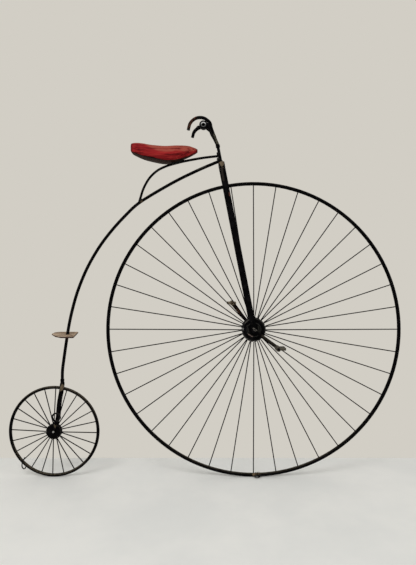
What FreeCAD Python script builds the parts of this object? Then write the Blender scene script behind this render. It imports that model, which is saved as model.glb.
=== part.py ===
import FreeCAD, Part
import math
import os
import re
import Sketcher
from types import SimpleNamespace

# A decorative penny farthing bicycle in painted wrought iron, about 0.78 m long.
# X points forward, Y to the bicycle's left and Z up.  The origin is on top of the saddle,
# where the rider's weight rests.  Lengths are millimetres and angles are degrees.
#
# Three working frames are used.  A wheel's frame lies at its axle, with Y as the axis.
# The fork's frame lies at the front axle, with Z up along the steering axis.  The frame
# of the bicycle lies on the ground under the front axle, and is moved to the saddle last.

SIZES = {
    # front wheel
    "front_rim_radius": 288.8,
    "front_rim_bar": 7.0,
    "front_spoke_count": 40,
    "front_spoke_bar": 2.0,
    "front_spoke_phase": 0.0,
    "front_hub_flange_diameter": 43.6,
    "front_hub_flange_thickness": 2.4,
    "front_hub_barrel_diameter": 18.0,
    "front_hub_collar_diameter": 14.0,
    "front_hub_length": 25.0,
    "front_flange_spacing": 20.0,
    "front_spoke_socket_diameter": 3.2,
    "front_spoke_socket_reach": 1.9,
    "front_axle_diameter": 6.0,
    "front_axle_overhang": 1.0,
    # rear wheel
    "rear_rim_radius": 86.9,
    "rear_rim_bar": 6.0,
    "rear_spoke_count": 24,
    "rear_spoke_bar": 2.0,
    "rear_spoke_phase": 2.0,
    "rear_hub_flange_diameter": 27.4,
    "rear_hub_flange_thickness": 2.0,
    "rear_hub_barrel_diameter": 13.0,
    "rear_hub_collar_diameter": 9.0,
    "rear_hub_length": 9.2,
    "rear_flange_spacing": 6.0,
    "rear_spoke_socket_diameter": 2.8,
    "rear_spoke_socket_reach": 1.5,
    "rear_axle_diameter": 4.0,
    "rear_axle_cap_diameter": 7.0,
    "rear_axle_cap_length": 1.6,
    "wheel_gap": 62.0,
    # wires wound on the rims
    "tie_wire": 1.4,
    "tie_turn_count": 3,
    "tie_pitch": 3.2,
    "tie_opening": 130.0,
    "tie_gap": 0.15,
    "tie_stem": 1.9,
    "tie_ring_radius": 2.3,
    "tie_ring_side": 5.0,
    "tie_angle": 1.6,
    "hook_wire": 2.0,
    # fork and steering
    "rake": 11.0,
    "fork_rise": 30.7,
    "fork_blade_top_width": 11.5,
    "fork_blade_low_width": 11.3,
    "fork_blade_thickness": 4.0,
    "fork_half_gap_top": 13.5,
    "fork_half_gap_low": 15.5,
    "fork_eye_diameter": 12.0,
    "crown_height": 13.0,
    "crown_depth": 11.5,
    "crown_arch_height": 6.0,
    "crown_arch_half_width": 8.0,
    "crown_shoulder_radius": 7.0,
    "head_tube_length": 31.0,
    "head_tube_diameter": 6.0,
    "head_cup_diameter": 8.2,
    "head_cup_height": 4.0,
    "steerer_diameter": 3.2,
    "steerer_socket_depth": 6.0,
    "handlebar_collar_diameter": 8.4,
    "handlebar_collar_height": 5.0,
    # handlebar
    "handlebar_bar": 6.2,
    "handlebar_half_width": 22.5,
    "handlebar_foot_half_gap": 3.15,
    "handlebar_curl_radius_right": 21.5,
    "handlebar_curl_radius_left": 18.9,
    "handlebar_curl_lead": 7.0,
    "handlebar_curl_rise": 30.2,
    "handlebar_curl_end": 158.0,
    "handlebar_eye_diameter": 15.4,
    "handlebar_eye_bore": 5.6,
    "handlebar_eye_length": 12.0,
    "handlebar_eye_depth": 8.0,
    "handlebar_eye_rounding": 1.2,
    "handlebar_eye_back": 20.1,
    "handlebar_eye_rise": 43.5,
    "handlebar_tongue": 8.6,
    # backbone, saddle bar and rear fork
    "backbone_bar": 6.0,
    "backbone_head_rise": 5.0,
    "saddle_bar": 4.7,
    "saddle_bar_head_rise": 14.5,
    "rear_fork_width": 4.9,
    "rear_fork_thickness": 2.2,
    "rear_fork_rise": 8.8,
    "rear_fork_top_lead": 16.0,
    "rear_fork_eye_diameter": 8.0,
    "rear_fork_eye_thickness": 2.6,
    "rear_eye_gap": 0.6,
    "rear_ring_wire": 2.9,
    "rear_ring_radius": 7.5,
    "rear_ring_height": 30.4,
    "rear_ring_back": 1.0,
    "rear_socket_diameter": 7.6,
    "rear_socket_depth": 3.6,
    # saddle
    "saddle_length": 130.5,
    "saddle_half_width": 18.5,
    "saddle_thickness": 37.5,
    "saddle_rise": 40.7,
    # step plate
    "step_length": 54.2,
    "step_width": 46.0,
    "step_thickness": 2.6,
    "step_rise": 86.4,
    "step_tilt": 6.2,
    "step_front_lead": 20.2,
    "step_corner_radius": 3.5,
    "step_edge_radius": 0.8,
    # cranks and pedals
    "crank_length_right": 54.5,
    "crank_length_left": 65.5,
    "crank_root_width": 5.6,
    "crank_end_width": 7.2,
    "crank_bar_thickness": 3.8,
    "crank_boss_diameter": 11.0,
    "crank_eye_diameter": 8.4,
    "crank_eye_thickness": 4.6,
    "crank_angle_right": 37.0,
    "crank_angle_left": 230.5,
    "pedal_pin_diameter": 3.0,
    "pedal_pin_cap_diameter": 5.0,
    "pedal_pin_cap_length": 1.5,
    "pedal_length": 19.0,
    "pedal_lead_right": 5.0,
    "pedal_lead_left": -1.0,
    "pedal_width": 22.0,
    "pedal_height": 5.0,
    "pedal_boss_diameter": 9.4,
    "pedal_rounding": 1.4,
    # fits, gaps and the overrun of cuts
    "fit": 0.05,
    "running_gap": 1.0,
    "end_gap": 0.3,
    "cut_over": 5.0,
}

# What follows from the sizes above.
DERIVED = {
    "front_axle_height": "front_rim_radius + front_rim_bar / 2",
    "rear_axle_height": "rear_rim_radius + rear_rim_bar / 2",
    "axle_distance": "front_axle_height + rear_axle_height + wheel_gap",
    "wheelbase": "sqrt(axle_distance ^ 2 - (front_axle_height - rear_axle_height) ^ 2)",
    "head_height": "front_axle_height + fork_rise + crown_height",
    "head_tube_base": "head_height + end_gap",
    "collar_base": "head_tube_base + head_tube_length + end_gap",
    "handlebar_base": "collar_base + handlebar_collar_height + fit",
    "blade_length": "head_height - crown_height - fit",
    "crank_inner": "fork_half_gap_low + fork_blade_thickness / 2 + running_gap",
    "crank_outer": "crank_inner + crank_eye_thickness",
    "pedal_inner": "crank_outer + running_gap",
    "pedal_outer": "pedal_inner + pedal_width",
    "front_axle_length": "2 * (crank_outer + front_axle_overhang)",
    "rear_eye_inner": "rear_hub_length / 2 + rear_eye_gap",
    "rear_fork_half_gap": "rear_eye_inner + rear_fork_eye_thickness / 2",
    "rear_fork_top": "2 * rear_axle_height + rear_fork_rise",
    "rear_socket_base": "rear_fork_top + rear_fork_thickness / 2 + fit",
    "rear_axle_half_length": "rear_eye_inner + rear_fork_eye_thickness + rear_axle_cap_length + fit",
    "step_height": "rear_socket_base + rear_socket_depth + step_rise",
}

# The line of the backbone from the head to the rear fork, as shares of its run and drop.
BACKBONE_SHARES = [
    (0.0, 0.0), (0.111, 0.033), (0.271, 0.087), (0.431, 0.153), (0.533, 0.199), (0.660, 0.292),
    (0.759, 0.381), (0.844, 0.485), (0.909, 0.600), (0.954, 0.725), (0.981, 0.853),
    (1.0, 0.954), (1.0, 1.0)]

# The line of the saddle bar from the head to the backbone, in the same way, and where
# along its run the middle of the saddle sits.
SADDLE_BAR_SHARES = [
    (0.0, 0.0), (0.207, 0.039), (0.458, 0.119), (0.646, 0.205), (0.771, 0.302),
    (0.872, 0.464), (0.947, 0.692), (1.0, 1.0)]
SADDLE_BAR_END_SHARE = 0.83
SADDLE_SEAT_SHARE = 0.682

# The tongue between the handlebar's arms, from where they part to the eye, as shares of
# how far back and how far up it goes.
TONGUE_SHARES = [(0.0, 0.0), (0.17, 0.45), (0.36, 0.86), (0.72, 1.06)]

# The line of a rear fork blade from its shoulder to the axle, as shares of lead and drop.
REAR_BLADE_SHARES = [
    (0.0, 0.0), (0.10, 0.19), (0.33, 0.37), (0.44, 0.54), (0.50, 0.70), (0.66, 0.81), (1.0, 1.0)]

# The wire hooked round the rear rim: its angle below straight back, its distance from the
# axle and its distance to the right, as shares of a right angle, the rim's radius and bar.
HOOK_SHARES = [
    (0.463, 0.885, 0.28), (0.490, 0.985, 0.72), (0.515, 1.045, 0.56), (0.537, 1.095, 0.24),
    (0.571, 1.112, 0.0), (0.580, 1.070, 0.0), (0.566, 1.048, 0.0)]

# Sections of the saddle from nose to tail: how far back, half width, half width between
# the lower edges, and how far the top and the lower edges lie below the highest point, as
# shares of the saddle's length, half width and thickness.
SADDLE_SHARES = [
    (0.0, 0.20, 0.10, 0.335, 0.450), (0.05, 0.42, 0.24, 0.248, 0.590),
    (0.15, 0.66, 0.42, 0.152, 0.760), (0.32, 0.88, 0.56, 0.136, 0.910),
    (0.50, 1.0, 0.66, 0.165, 0.965), (0.68, 1.0, 0.66, 0.123, 0.880),
    (0.82, 0.90, 0.50, 0.032, 0.705), (0.93, 0.74, 0.38, 0.0, 0.560),
    (1.0, 0.62, 0.34, 0.040, 0.490)]
SADDLE_MIDDLE_SHARES = SADDLE_SHARES[len(SADDLE_SHARES) // 2]
# Where a section is widest, up from its lower edges, how its side leans in below that as
# shares of the way in and of the way down, and the drop of its keel for its width below.
SADDLE_WALL_SHARE = 0.46
SADDLE_SIDE_SHARES = [(0.22, 0.38), (0.58, 0.74), (1.0, 1.0)]
SADDLE_KEEL_SHARE = 0.27

# The plan of the step plate: how far back and how far to the left.
STEP_PLAN_SHARES = [
    (0.0, -0.50), (0.10, 0.50), (0.80, 0.50), (0.95, 0.38), (0.98, 0.10), (0.73, -0.29), (0.46, -0.50)]

VECTOR = FreeCAD.Vector
ACROSS = FreeCAD.Rotation(VECTOR(1, 0, 0), -90)
SIDES = (("right", -1), ("left", 1))
ALIAS = re.compile(r"[a-z]+(?:_[a-z]+)+|rake|fit|wheelbase")

doc = FreeCAD.newDocument("PennyFarthing")
sheet = doc.addObject("Spreadsheet::Sheet", "Sizes")
cells = list(SIZES.items()) + [(alias, "=" + rule) for alias, rule in DERIVED.items()]
for row, (alias, content) in enumerate(cells, 1):
    sheet.set(f"A{row}", alias)
    sheet.set(f"B{row}", str(content))
    sheet.setAlias(f"B{row}", alias)
doc.recompute()
size = SimpleNamespace(**{alias: float(sheet.get(alias)) for alias, content in cells})

rake = math.radians(size.rake)
kept = []


def keep(item, label):
    """Name a finished sub-part.  The label is its node and its file."""
    item.Label = label
    kept.append(item)
    return item


def bind(item, formulas):
    """Bind properties of an object to formulas in the sheet's names."""
    for name, formula in formulas.items():
        item.setExpression(name, ALIAS.sub(lambda word: "Sizes." + word.group(0), formula))


def shifted(x, y, z):
    return FreeCAD.Placement(VECTOR(x, y, z), FreeCAD.Rotation())


def turned(axis, angle):
    return FreeCAD.Placement(VECTOR(), FreeCAD.Rotation(VECTOR(*axis), angle))


# Lines of the frame, in the bicycle's frame
def on_steering_axis(height):
    """The place of a height along the steering axis, in the bicycle's frame."""
    return (-math.sin(rake) * height, size.front_axle_height + math.cos(rake) * height)


def along_shares(shares, start, end):
    """Points between two places, from shares of the run and of the drop."""
    return [(start[0] + (end[0] - start[0]) * run, 0, start[1] + (end[1] - start[1]) * drop)
            for run, drop in shares]


def between(low, high, share):
    return [a + (b - a) * share for a, b in zip(low, high)]


def crossing(points, coordinate, value):
    """The place where a line through points reaches a value of one coordinate."""
    for first, second in zip(points, points[1:]):
        span = second[coordinate] - first[coordinate]
        if span and 0 <= (value - first[coordinate]) / span <= 1:
            return between(first, second, (value - first[coordinate]) / span)
    raise ValueError("the line does not reach that place")


rear_fork_x = -size.wheelbase + size.rear_fork_top_lead
backbone_points = along_shares(
    BACKBONE_SHARES, on_steering_axis(size.head_height + size.backbone_head_rise),
    (rear_fork_x, size.rear_socket_base))
before_foot, after_foot = backbone_points[3:5]
saddle_bar_end = between(before_foot, after_foot, SADDLE_BAR_END_SHARE)
saddle_bar_points = along_shares(
    SADDLE_BAR_SHARES, on_steering_axis(size.head_height + size.saddle_bar_head_rise),
    (saddle_bar_end[0], saddle_bar_end[2]))
rear_blade_points = along_shares(
    REAR_BLADE_SHARES, (rear_fork_x, size.rear_fork_top), (-size.wheelbase, size.rear_axle_height))

saddle_x = saddle_bar_points[0][0] + (saddle_bar_end[0] - saddle_bar_points[0][0]) * SADDLE_SEAT_SHARE
saddle_z = crossing(saddle_bar_points, 0, saddle_x)[2] + size.saddle_rise

bicycle_place = shifted(-saddle_x, 0, -saddle_z)
front_wheel_place = bicycle_place.multiply(shifted(0, 0, size.front_axle_height))
rear_wheel_place = bicycle_place.multiply(shifted(-size.wheelbase, 0, size.rear_axle_height))
fork_place = front_wheel_place.multiply(turned((0, 1, 0), -size.rake))


# Common forms
def cylinder_across(name, radius, start, length, centre_x=0):
    """A cylinder along Y, from a start to its length further to the left."""
    item = doc.addObject("Part::Cylinder", name)
    item.Placement = FreeCAD.Placement(VECTOR(centre_x, 0, 0), ACROSS)
    bind(item, {"Radius": radius, "Height": length, "Placement.Base.y": start})
    return item


def cylinder_on_side(name, side, radius, start, length, centre_x=0):
    """The same, measured from the middle towards one side."""
    begin = start if side > 0 else f"-({start}) - ({length})"
    return cylinder_across(name, radius, begin, length, centre_x)


def cylinder_up(name, radius, start, length):
    item = doc.addObject("Part::Cylinder", name)
    bind(item, {"Radius": radius, "Height": length, "Placement.Base.z": start})
    return item


def box(name, length, width, height, x, y, z):
    item = doc.addObject("Part::Box", name)
    bind(item, {"Length": length, "Width": width, "Height": height,
                "Placement.Base.x": x, "Placement.Base.y": y, "Placement.Base.z": z})
    return item


def ring(name, radius, wire_radius, place):
    """A torus about Y."""
    item = doc.addObject("Part::Torus", name)
    bind(item, {"Radius1": radius, "Radius2": wire_radius})
    item.Placement = place.multiply(turned((1, 0, 0), 90))
    return item


def cut(name, base, *tools):
    item = doc.addObject("Part::Cut", name)
    item.Base = base
    item.Tool = tools[0] if len(tools) == 1 else fuse(name + "_tools", *tools)
    return item


def fuse(name, *shapes):
    item = doc.addObject("Part::MultiFuse", name)
    item.Shapes = list(shapes)
    item.Refine = True
    return item


def rounded(name, base, radius, wanted):
    """Round the edges of a solid that the test picks."""
    doc.recompute()
    item = doc.addObject("Part::Fillet", name)
    item.Base = base
    item.Edges = [(number, radius, radius)
                  for number, edge in enumerate(base.Shape.Edges, 1) if wanted(edge)]
    return item


def plane_of(body, role):
    return [feature for feature in body.Origin.OriginFeatures if feature.Role == role][0]


def revolved(name, profile):
    """A body turned about Y from a closed profile, listed as formulas of the distance
    along the axis and the radius."""
    body = doc.addObject("PartDesign::Body", name)
    sketch = body.newObject("Sketcher::SketchObject", name + "_profile")
    sketch.AttachmentSupport = [(plane_of(body, "XY_Plane"), "")]
    sketch.MapMode = "FlatFace"
    count = len(profile)
    centre = VECTOR(size.cut_over, size.cut_over, 0)
    for number in range(count):
        # A rough loop, which the constraints then pull to its sizes.
        angles = [math.tau * corner / count for corner in (number, number + 1)]
        ends = [centre + VECTOR(math.cos(angle), math.sin(angle), 0) * size.running_gap for angle in angles]
        sketch.addGeometry(Part.LineSegment(*ends))
    for number, (along, radius) in enumerate(profile):
        sketch.addConstraint(Sketcher.Constraint("Coincident", (number - 1) % count, 2, number, 1))
        for kind, formula in (("DistanceX", radius), ("DistanceY", along)):
            if formula == "0":
                sketch.addConstraint(Sketcher.Constraint("PointOnObject", number, 1, -1))
            else:
                place = sketch.addConstraint(Sketcher.Constraint(kind, -1, 1, number, 1, size.running_gap))
                bind(sketch, {f"Constraints[{place}]": formula})
    turn = body.newObject("PartDesign::Revolution", name + "_turn")
    turn.Profile = sketch
    turn.ReferenceAxis = (sketch, ["V_Axis"])
    turn.Angle = 360
    body.Tip = turn
    return body


def repeated_about_y(body, name, features, count):
    """Repeat features of a body evenly round its Y axis."""
    doc.recompute()
    pattern = body.newObject("PartDesign::PolarPattern", name)
    pattern.Originals = features
    pattern.Axis = (plane_of(body, "Y_Axis"), [""])
    pattern.Angle = 360
    pattern.Occurrences = count
    body.Tip = pattern


def oval_bar(name, ends, place):
    """A tapering oval bar along Z, listed from its foot as a height, a side shift, a width
    and a thickness."""
    ovals = []
    for number, (height, shift, width, thickness) in enumerate(ends):
        oval = doc.addObject("Part::Ellipse", f"{name}_oval_{number}")
        bind(oval, {"MajorRadius": f"{width} / 2", "MinorRadius": f"{thickness} / 2",
                    "Placement.Base.y": shift, "Placement.Base.z": height})
        ovals.append(oval)
    item = doc.addObject("Part::Loft", name)
    item.Sections = ovals
    item.Solid = True
    item.Ruled = True
    item.Placement = place
    return item


def tangent_path(points):
    """Straight runs through the points, joined by arcs as large as the runs allow."""
    arc_share = 0.45
    points = [VECTOR(*point) for point in points]
    edges = []
    start = points[0]
    for before, corner, after in zip(points, points[1:], points[2:]):
        inward = (corner - before).normalize()
        outward = (after - corner).normalize()
        reach = arc_share * min((corner - before).Length, (after - corner).Length)
        first = corner - inward * reach
        last = corner + outward * reach
        radius = reach / math.tan(inward.getAngle(outward) / 2)
        bisector = (outward - inward).normalize()
        centre = corner + bisector * math.hypot(radius, reach)
        edges.append(Part.LineSegment(start, first).toShape())
        edges.append(Part.Arc(first, centre - bisector * radius, last).toShape())
        start = last
    edges.append(Part.LineSegment(start, points[-1]).toShape())
    return Part.Wire(edges)


def swept(name, points, section, rotation):
    """Sweep a section along a path of runs and arcs."""
    path = doc.addObject("Part::Feature", name + "_path")
    path.Shape = tangent_path(points)
    section.Placement = FreeCAD.Placement(VECTOR(*points[0]), rotation)
    rod = doc.addObject("Part::Sweep", name + "_rod")
    rod.Sections = [section]
    rod.Spine = (path, [f"Edge{n + 1}" for n in range(len(path.Shape.Edges))])
    rod.Solid = True
    rod.Frenet = False
    return rod


def bent_rod(name, points, radius):
    """A round bar bent along a line."""
    section = doc.addObject("Part::Circle", name + "_section")
    bind(section, {"Radius": radius})
    heading = VECTOR(*points[1]) - VECTOR(*points[0])
    return swept(name, points, section, FreeCAD.Rotation(VECTOR(0, 0, 1), heading))


def bent_strip(name, points, width, thickness):
    """A flat oval bar bent along a line that starts in the plane of a wheel."""
    section = doc.addObject("Part::Ellipse", name + "_section")
    bind(section, {"MajorRadius": f"({width}) / 2", "MinorRadius": f"({thickness}) / 2"})
    heading = (VECTOR(*points[1]) - VECTOR(*points[0])).normalize()
    sideways = VECTOR(0, 1, 0)
    return swept(name, points, section,
                 FreeCAD.Rotation(sideways.cross(heading), sideways, heading, "ZXY"))


# Wheels
def rim(wheel, place):
    keep(ring(f"{wheel}_rim_hoop", f"{wheel}_rim_radius", f"{wheel}_rim_bar / 2", place), f"{wheel}_rim")


def hub(wheel, axle_fit, place):
    """Barrel, two flanges ringed with spoke sockets, and a collar at each end, bored for
    the axle."""
    length = f"{wheel}_hub_length"
    half_spacing = f"{wheel}_flange_spacing / 2"
    half_flange = f"{wheel}_hub_flange_thickness / 2"
    flange, barrel, collar = [f"{wheel}_hub_{part}_diameter / 2" for part in ("flange", "barrel", "collar")]
    bore = f"{wheel}_axle_diameter / 2 + {axle_fit}"
    low = f"{length} / 2 - {half_spacing}"
    high = f"{length} / 2 + {half_spacing}"
    body = revolved(f"{wheel}_hub_body", [
        ("0", bore), ("0", collar),
        (f"{low} - {half_flange}", collar), (f"{low} - {half_flange}", flange),
        (f"{low} + {half_flange}", flange), (f"{low} + {half_flange}", barrel),
        (f"{high} - {half_flange}", barrel), (f"{high} - {half_flange}", flange),
        (f"{high} + {half_flange}", flange), (f"{high} + {half_flange}", collar),
        (length, collar), (length, bore)])
    reach = getattr(size, f"{wheel}_spoke_socket_reach")
    foot = getattr(size, f"{wheel}_hub_flange_diameter") / 2 - reach
    sockets = []
    for number, (word, side) in enumerate(SIDES):
        socket = body.newObject("PartDesign::AdditiveCylinder", f"{wheel}_socket_{word}")
        bind(socket, {"Radius": f"{wheel}_spoke_socket_diameter / 2", "Height": f"2 * {wheel}_spoke_socket_reach"})
        along = (getattr(size, length) + side * getattr(size, f"{wheel}_flange_spacing")) / 2
        socket.Placement = turned((0, 1, 0), spoke_angle(wheel, number)).multiply(
            FreeCAD.Placement(VECTOR(foot, along, 0), FreeCAD.Rotation(VECTOR(0, 1, 0), 90)))
        sockets.append(socket)
    repeated_about_y(body, f"{wheel}_sockets", sockets, spokes_per_side(wheel))
    body.Placement = place.multiply(shifted(0, -getattr(size, length) / 2, 0))
    keep(body, f"{wheel}_hub")


def spokes_per_side(wheel):
    return int(getattr(size, f"{wheel}_spoke_count")) // 2


def spoke_angle(wheel, number):
    """The angle of the first spoke on the right, for 0, or on the left, for 1."""
    return getattr(size, f"{wheel}_spoke_phase") + number * 180 / spokes_per_side(wheel)


def spokes(wheel, number, place):
    """One side's spokes, each butted on its socket and on the inside of the rim."""
    word, side = SIDES[number]
    inner = getattr(size, f"{wheel}_hub_flange_diameter") / 2 + getattr(size, f"{wheel}_spoke_socket_reach")
    outer = getattr(size, f"{wheel}_rim_radius") - getattr(size, f"{wheel}_rim_bar") / 2
    start = VECTOR(inner + size.fit, side * getattr(size, f"{wheel}_flange_spacing") / 2, 0)
    heading = VECTOR(outer - 3 * size.fit, 0, 0) - start
    body = doc.addObject("PartDesign::Body", f"{wheel}_spokes_{word}_body")
    spoke = body.newObject("PartDesign::AdditiveCylinder", f"{wheel}_spoke_{word}")
    bind(spoke, {"Radius": f"{wheel}_spoke_bar / 2"})
    spoke.Height = heading.Length
    spoke.Placement = turned((0, 1, 0), spoke_angle(wheel, number)).multiply(
        FreeCAD.Placement(start, FreeCAD.Rotation(VECTOR(0, 0, 1), heading)))
    repeated_about_y(body, f"{wheel}_spokes_{word}_ring", [spoke], spokes_per_side(wheel))
    body.Placement = place
    keep(body, f"{wheel}_spokes_{word}")


def wheel_set(wheel, axle_fit, place):
    rim(wheel, place)
    hub(wheel, axle_fit, place)
    for number in range(len(SIDES)):
        spokes(wheel, number, place)


def front_rim_tie():
    """A few turns of wire round the bottom of the rim, open below, tied by a stem and a
    small ring of the same wire on the right."""
    turn_count = int(size.tie_turn_count)
    reach = size.front_rim_bar / 2 + 2 * size.tie_gap + size.tie_stem / 2
    foot = -size.front_rim_radius
    solids = []
    for number in range(turn_count):
        item = doc.addObject("Part::Torus", f"tie_turn_{number}")
        bind(item, {"Radius1": "front_rim_bar / 2 + tie_gap + tie_wire / 2", "Radius2": "tie_wire / 2",
                    "Angle3": "360 - tie_opening"})
        # The turn lies across the rim's bar, with its opening at the bottom.
        across = FreeCAD.Rotation(VECTOR(0, 0, -1), VECTOR(0, -1, 0), VECTOR(-1, 0, 0), "ZXY")
        across = across.multiply(FreeCAD.Rotation(VECTOR(0, 0, 1), size.tie_opening / 2))
        along = (number - (turn_count - 1) / 2) * size.tie_pitch
        item.Placement = FreeCAD.Placement(VECTOR(along, 0, foot), across)
        solids.append(item)
    low = math.radians(size.tie_opening / 2)
    stem = doc.addObject("Part::Cylinder", "tie_stem_bar")
    bind(stem, {"Radius": "tie_stem / 2", "Height": "(tie_turn_count - 1) * tie_pitch + tie_stem"})
    stem.Placement = FreeCAD.Placement(
        VECTOR(-((turn_count - 1) * size.tie_pitch + size.tie_stem) / 2, -reach * math.sin(low),
               foot - reach * math.cos(low)), FreeCAD.Rotation(VECTOR(0, 1, 0), 90))
    ring_drop = -size.front_axle_height + size.end_gap + size.tie_ring_radius + size.tie_wire / 2
    loop = ring("tie_ring", "tie_ring_radius", "tie_wire / 2", shifted(0, -size.tie_ring_side, ring_drop))
    item = fuse("tie_piece", *solids, stem, loop)
    item.Placement = front_wheel_place.multiply(turned((0, 1, 0), -size.tie_angle))
    keep(item, "front_rim_tie")


def rear_rim_hook():
    """A wire from inside the rear rim across its right face, hooked under it."""
    points = []
    for angle_share, radius_share, side_share in HOOK_SHARES:
        angle = math.radians(90 * angle_share)
        radius = size.rear_rim_radius * radius_share
        points.append((-radius * math.cos(angle), -size.rear_rim_bar * side_share, -radius * math.sin(angle)))
    item = bent_rod("hook", points, "hook_wire / 2")
    item.Placement = rear_wheel_place
    keep(item, "rear_rim_hook")


# Front axle, cranks and pedals, in the front wheel's frame
def front_axle():
    item = doc.addObject("Part::Cylinder", "front_axle_bar")
    bind(item, {"Radius": "front_axle_diameter / 2", "Height": "front_axle_length"})
    item.Placement = front_wheel_place.multiply(
        FreeCAD.Placement(VECTOR(0, -size.front_axle_length / 2, 0), ACROSS))
    keep(item, "front_axle")


def crank(word, side):
    """A forged bar that widens from its boss on the axle to the eye for the pedal's pin."""
    def across(part, radius, centre_x=0):
        return cylinder_on_side(f"crank_{word}_{part}", side, radius, "crank_inner",
                                "crank_eye_thickness", centre_x)

    def bore(part, radius, centre_x=0):
        return cylinder_on_side(f"crank_{word}_{part}", side, radius, "crank_inner - cut_over",
                                "crank_eye_thickness + 2 * cut_over", centre_x)

    length = f"crank_length_{word}"
    reach = getattr(size, length)
    # The bar is laid along X, with its width in the plane of the wheel.
    middle = side * (size.crank_inner + size.crank_outer) / 2
    lying = FreeCAD.Rotation(VECTOR(0, 0, -1), VECTOR(0, 1, 0), VECTOR(1, 0, 0), "ZXY")
    bar = oval_bar(f"crank_{word}_bar", [
        ("0", "0", "crank_root_width", "crank_bar_thickness"),
        (length, "0", "crank_end_width", "crank_bar_thickness")],
        FreeCAD.Placement(VECTOR(0, middle, 0), lying))
    solid = fuse(f"crank_{word}_solid", bar, across("boss", "crank_boss_diameter / 2"),
                 across("eye", "crank_eye_diameter / 2", reach))
    item = cut(f"crank_{word}_piece", solid, bore("axle_bore", "front_axle_diameter / 2 + fit"),
               bore("pin_bore", "pedal_pin_diameter / 2 + fit", reach))
    item.Placement = front_wheel_place.multiply(
        turned((0, 1, 0), getattr(size, f"crank_angle_{word}")))
    keep(item, f"crank_{word}")


def pedal(word, side):
    """A wooden tread with a round boss, which turns on a headed pin fixed in the crank."""
    angle = getattr(size, f"crank_angle_{word}")
    reach = turned((0, 1, 0), angle).multVec(VECTOR(getattr(size, f"crank_length_{word}"), 0, 0))
    place = front_wheel_place.multiply(shifted(*reach))
    bar = cylinder_on_side(f"pedal_pin_{word}_bar", side, "pedal_pin_diameter / 2",
                           "crank_inner", "pedal_outer + end_gap - crank_inner")
    cap = cylinder_on_side(f"pedal_pin_{word}_cap", side, "pedal_pin_cap_diameter / 2",
                           "pedal_outer + end_gap", "pedal_pin_cap_length")
    pin = fuse(f"pedal_pin_{word}_piece", bar, cap)
    pin.Placement = place
    keep(pin, f"pedal_pin_{word}")
    tread = box(f"pedal_{word}_tread", "pedal_length", "pedal_width", "pedal_height",
                f"pedal_lead_{word} - pedal_length / 2", "pedal_inner" if side > 0 else "-pedal_outer",
                "-pedal_height / 2")
    boss = cylinder_on_side(f"pedal_{word}_boss", side, "pedal_boss_diameter / 2", "pedal_inner",
                            "pedal_width")
    block = fuse(f"pedal_{word}_block", tread, boss)
    eased = rounded(f"pedal_{word}_eased", block, size.pedal_rounding,
                    lambda edge: abs(edge.CenterOfMass.x) > size.pedal_boss_diameter / 2
                    and edge.BoundBox.XLength < size.fit)
    bore = cylinder_on_side(f"pedal_{word}_bore", side, "pedal_pin_diameter / 2 + fit",
                            "pedal_inner - cut_over", "pedal_width + 2 * cut_over")
    item = cut(f"pedal_{word}_piece", eased, bore)
    item.Placement = place
    keep(item, f"pedal_{word}")


# Fork, steerer and handlebar, in the fork's frame
def fork_blade(word, side):
    """An oval bar that spreads from the crown down to an eye on the axle."""
    blade = oval_bar(f"fork_blade_{word}_bar", [
        ("0", f"fork_half_gap_low * {side}", "fork_blade_low_width", "fork_blade_thickness"),
        ("blade_length", f"fork_half_gap_top * {side}", "fork_blade_top_width", "fork_blade_thickness")],
        FreeCAD.Placement())
    eye_start = "fork_half_gap_low - fork_blade_thickness / 2"
    eye = cylinder_on_side(f"fork_blade_{word}_eye", side, "fork_eye_diameter / 2",
                           eye_start, "fork_blade_thickness")
    bore = cylinder_on_side(f"fork_blade_{word}_bore", side, "front_axle_diameter / 2 + 2 * fit",
                            eye_start + " - cut_over", "fork_blade_thickness + 2 * cut_over")
    item = cut(f"fork_blade_{word}_piece", fuse(f"fork_blade_{word}_solid", blade, eye), bore)
    item.Placement = fork_place
    keep(item, f"fork_blade_{word}")


def fork_crown():
    """The bridge above the wheel: arched below, with rounded shoulders and a socket."""
    half = "(fork_half_gap_top + fork_blade_thickness / 2)"
    block = box("fork_crown_block", "crown_depth", f"2 * {half}", "crown_height",
                "-crown_depth / 2", f"-{half}", "head_height - crown_height")

    def is_shoulder(edge):
        along_x = edge.BoundBox.XLength > edge.BoundBox.YLength + edge.BoundBox.ZLength
        return along_x and edge.CenterOfMass.z > size.head_height - size.fit

    shoulders = rounded("fork_crown_shoulders", block, size.crown_shoulder_radius, is_shoulder)
    arch = box("fork_crown_arch", "crown_depth + 2 * cut_over", "2 * crown_arch_half_width",
               "crown_arch_height + cut_over", "-crown_depth / 2 - cut_over",
               "-crown_arch_half_width", "head_height - crown_height - cut_over")
    socket = cylinder_up("fork_crown_socket", "steerer_diameter / 2 + fit / 2",
                         "head_height - steerer_socket_depth", "steerer_socket_depth + cut_over")
    item = cut("fork_crown_piece", shoulders, arch, socket)
    item.Placement = fork_place
    keep(item, "fork_crown")


def steerer():
    foot = size.head_height - size.steerer_socket_depth + size.fit
    item = doc.addObject("Part::Cylinder", "steerer_pin")
    bind(item, {"Radius": "steerer_diameter / 2",
                "Height": "handlebar_base - fit - head_height + steerer_socket_depth - fit"})
    item.Placement = fork_place.multiply(shifted(0, 0, foot))
    keep(item, "steerer")


def handlebar_collar():
    outer = cylinder_up("handlebar_collar_outer", "handlebar_collar_diameter / 2",
                        "collar_base", "handlebar_collar_height")
    bore = cylinder_up("handlebar_collar_bore", "steerer_diameter / 2 + fit / 2",
                       "collar_base - cut_over", "handlebar_collar_height + 2 * cut_over")
    item = cut("handlebar_collar_piece", outer, bore)
    item.Placement = fork_place
    keep(item, "handlebar_collar")


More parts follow.
